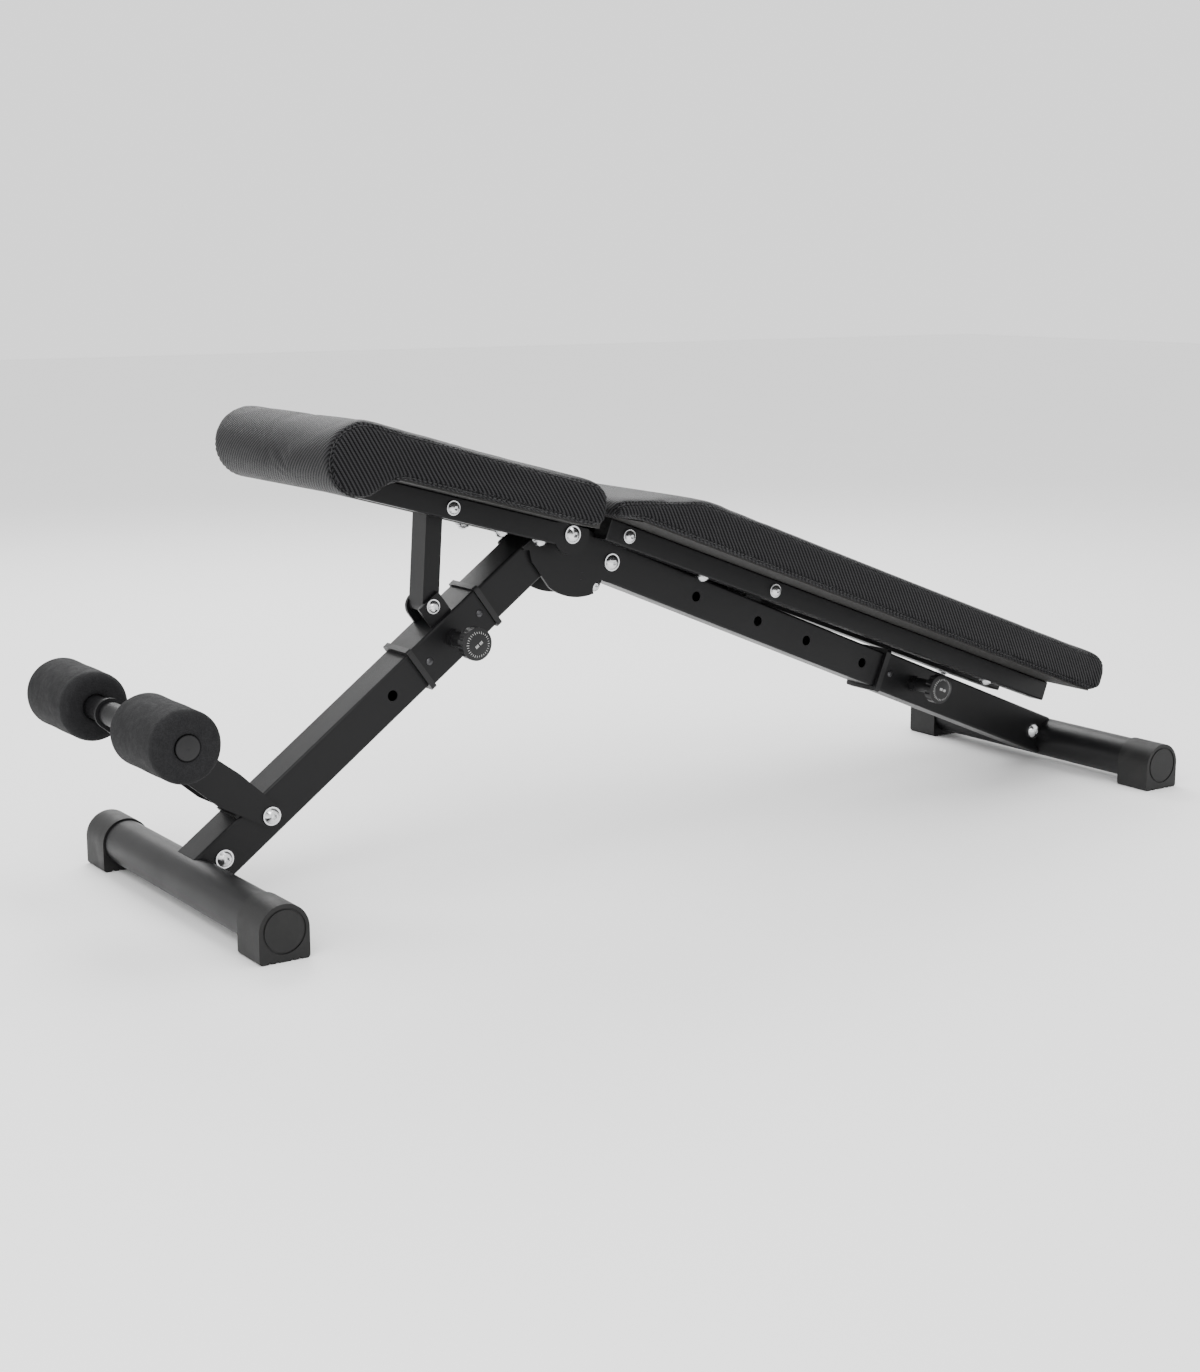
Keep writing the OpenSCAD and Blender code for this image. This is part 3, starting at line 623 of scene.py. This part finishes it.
def make_pad(name, node, body, outline, slope, base, flat_from, puckers):
    """One cushion: loft, even skin, cloth pressure, seams, weave."""
    low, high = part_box(node)
    half = (high.y - low.y) / 2
    loop = soften(even(outline, 3.0 * MM), 6)
    board_room = 0.7 * MM
    start = inset(loop, COVER_ROOM)
    on_board = np.maximum(start[:, 1], base + board_room)
    start[:, 1] = np.where(loop[:, 0] > flat_from, on_board, start[:, 1])
    piece = lofted_pad(name, start, half - COVER_ROOM, COVER_RIM, slope)
    remesh(piece, 5.0 * MM)
    inflate(piece, slope, base, flat_from, COVER_SWELL)
    subdivide(piece)
    for centre, reach, height, pitch in puckers:
        ripple(piece, slope, centre, reach, height, pitch)
    seams = []
    for side in (-1, 1):
        line = seam_points(piece, loop, SEAM_DEPTH, side, slope)
        press_seam(piece, line, SEAM_WIDTH, SEAM_PULL)
        seams.append(line)
    weave_coordinates(piece, loop, slope)
    piece.data.polygons.foreach_set("use_smooth", [True] * len(piece.data.polygons))
    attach(piece, body)
    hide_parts(node)
    for side, line in zip(("near", "far"), seams):
        inner = [p - Vector((0, (1 if p.y > 0 else -1) * THREAD_SUNK, 0)) for p in line]
        stitches(f"{name}_stitches_{side}", inner + inner[:1], body)
    return piece


def make_pads():
    seat = Slope(joint_place("seat_tilt"), SEAT_SLOPE)
    back = Slope(joint_place("beam_fold"), BACK_SLOPE)
    make_pad("seat_cushion", "seat_pad", "seat", seat_outline(), seat, SEAT_BASE, SEAT_FLAT_FROM,
             [((-0.268, 0.012), (0.022, 0.016), 0.3 * MM, 11 * MM),
              ((-0.03, 0.016), (0.02, 0.010), 0.3 * MM, 9 * MM)])
    make_pad("back_cushion", "back_pad", "main_beam", back_outline(), back, BACK_BASE,
             BACK_FLAT_FROM,
             [((0.03, 0.07), (0.05, 0.03), 0.25 * MM, 23 * MM),
              ((0.70, 0.055), (0.02, 0.015), 0.2 * MM, 12 * MM)])


# ---------- foam rollers ----------

def make_roller(name, node, body):
    """A foam sleeve on the axle: soft rims, dished ends, a slightly uneven skin."""
    low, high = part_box(node)
    centre = (low + high) / 2
    skin_room = 0.4 * MM
    outer = (high.z - low.z) / 2 - skin_room
    half = (high.y - low.y) / 2 - skin_room
    axle_low, axle_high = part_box("roller_axle")
    bore = (axle_high.z - axle_low.z) / 2 + 0.3 * MM
    rim = 9.0 * MM
    profile = [(bore, -half + 3 * MM), (bore + 1.5 * MM, -half + 1.2 * MM)]
    profile += [(bore + 5 * MM, -half + 0.4 * MM)]
    profile += [(outer - rim + rim * math.sin(t), -half + rim - rim * math.cos(t))
                for t in np.linspace(0, math.pi / 2, 9)]
    rows = 36
    profile += [(outer, -half + rim + (2 * half - 2 * rim) * i / rows) for i in range(1, rows)]
    profile += [(r, -y) for r, y in reversed(profile[:12])]
    around = 120
    swell, swell_room = 0.35 * MM, 0.3 * MM
    verts, faces = [], []
    for r, y in profile:
        for k in range(around):
            a = 2 * math.pi * k / around
            uneven = swell * math.sin(3 * a + 40 * y) * math.sin(70 * y + a)
            on_side = r > outer - rim
            reach = r + (uneven if on_side else 0.0) - (swell_room if on_side else 0.0)
            verts.append((centre.x + reach * math.cos(a), centre.y + y,
                          centre.z + reach * math.sin(a)))
    count = len(profile)
    for j in range(count):
        for k in range(around):
            a = j * around + k
            b = j * around + (k + 1) % around
            c = ((j + 1) % count) * around
            faces.append((a, c + k, c + (k + 1) % around, b))
    piece = new_piece(name, verts, faces, MATERIALS["roller_foam"])
    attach(piece, body)
    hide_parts(node)


# ---------- small trim ----------

def knob_marks(name, node, body, slope_angle):
    """A ring of plain ticks and a bar on the knob's cap."""
    low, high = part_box(node)
    centre = (low + high) / 2
    dome = 44.0 * MM
    ring = 13.0 * MM
    ticks, tick_width, short, long = 30, 0.5 * MM, 2.0 * MM, 2.8 * MM
    bar_marks, bar_pitch, bar_width, bar_height = 3, 1.5 * MM, 0.9 * MM, 3.2 * MM
    sunk, proud = 0.4 * MM, 0.12 * MM
    verts, faces = [], []

    def tick(radius, angle, length, width):
        first = len(verts)
        out = Vector((math.cos(angle), 0, math.sin(angle)))
        turn = Vector((-math.sin(angle), 0, math.cos(angle)))
        for lift in (-sunk, proud):
            for u, w in ((-1, -1), (1, -1), (1, 1), (-1, 1)):
                spot = out * (radius + u * length / 2) + turn * (w * width / 2)
                sag = dome - math.sqrt(dome * dome - spot.length_squared)
                verts.append(Vector((centre.x, low.y + sag - lift, centre.z)) + spot)
        for quad in ((0, 1, 2, 3), (7, 6, 5, 4), (0, 4, 5, 1), (1, 5, 6, 2), (2, 6, 7, 3),
                     (3, 7, 4, 0)):
            faces.append(tuple(first + i for i in quad))

    for i in range(ticks):
        tick(ring, 2 * math.pi * i / ticks, short if i % 3 else long, tick_width)
    for offset in range(-bar_marks, bar_marks + 1):
        if offset:
            tick(offset * bar_pitch, slope_angle, bar_width, bar_height)
    piece = new_piece(name, verts, faces, PRINT, smooth=False)
    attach(piece, body)


# ---------- studio ----------

def studio():
    scene = bpy.context.scene
    floor_mesh = bpy.data.meshes.new("floor")
    size = 12.0
    corners = [(-size, -size, 0), (size, -size, 0), (size, size, 0), (-size, size, 0)]
    floor_mesh.from_pydata(corners, [], [(0, 1, 2, 3)])
    n = Nodes("pale_floor")
    tone = n.noise(3.0, 3.0)
    n.set(Base_Color=n.blend(tone, (0.89, 0.89, 0.89), (0.91, 0.91, 0.91)), Roughness=0.6)
    floor_mesh.materials.append(n.material)
    floor = bpy.data.objects.new("floor", floor_mesh)
    scene.collection.objects.link(floor)
    world = bpy.data.worlds.new("studio")
    world.use_nodes = True
    background = world.node_tree.nodes["Background"]
    background.inputs["Color"].default_value = (1.0, 1.0, 1.0, 1.0)
    background.inputs["Strength"].default_value = 1.5
    scene.world = world

    def softbox(name, place, aim, width, height, power):
        light = bpy.data.lights.new(name, "AREA")
        light.shape = "RECTANGLE"
        light.size, light.size_y, light.energy = width, height, power
        box = bpy.data.objects.new(name, light)
        box.location = place
        box.rotation_euler = (Vector(aim) - Vector(place)).to_track_quat("-Z", "Y").to_euler()
        scene.collection.objects.link(box)

    softbox("key", (-1.9, -1.5, 2.2), (-0.1, 0, 0.3), 1.6, 1.2, 55)
    softbox("rim", (0.8, 2.2, 2.0), (0, 0, 0.3), 2.4, 1.0, 60)
    softbox("top", (0.2, 0.0, 2.8), (0, 0, 0.3), 2.2, 1.2, 35)


def camera():
    """The viewing angle: from the roller end, on the knobs' side, a little above the seat."""
    azimuth, elevation, distance = math.radians(-34.31), math.radians(11.18), 2.522
    low, high = (Vector(corner) for corner in cad_bounds)
    target = (low + high) / 2 + Vector((-0.0588, 0.0, -0.0766))
    level = math.cos(elevation)
    back = Vector((math.sin(azimuth) * level, -math.cos(azimuth) * level, math.sin(elevation)))
    lens = bpy.data.cameras.new("camera")
    lens.lens = 57.14
    lens.sensor_width = 36.0
    eye = bpy.data.objects.new("camera", lens)
    eye.location = target + back * distance
    eye.rotation_euler = (-back).to_track_quat("-Z", "Y").to_euler()
    bpy.context.scene.collection.objects.link(eye)
    bpy.context.scene.camera = eye


camera()
studio()
paint_frame()
make_pads()
make_roller("near_foam_sleeve", "foam_roller_near", "near_roller")
make_roller("far_foam_sleeve", "foam_roller_far", "far_roller")
knob_marks("seat_knob_marks", "seat_pin_knob", "seat_pin", POST_SLOPE)
knob_marks("leg_knob_marks", "leg_pin_knob", "leg_pin", -BEAM_SLOPE)
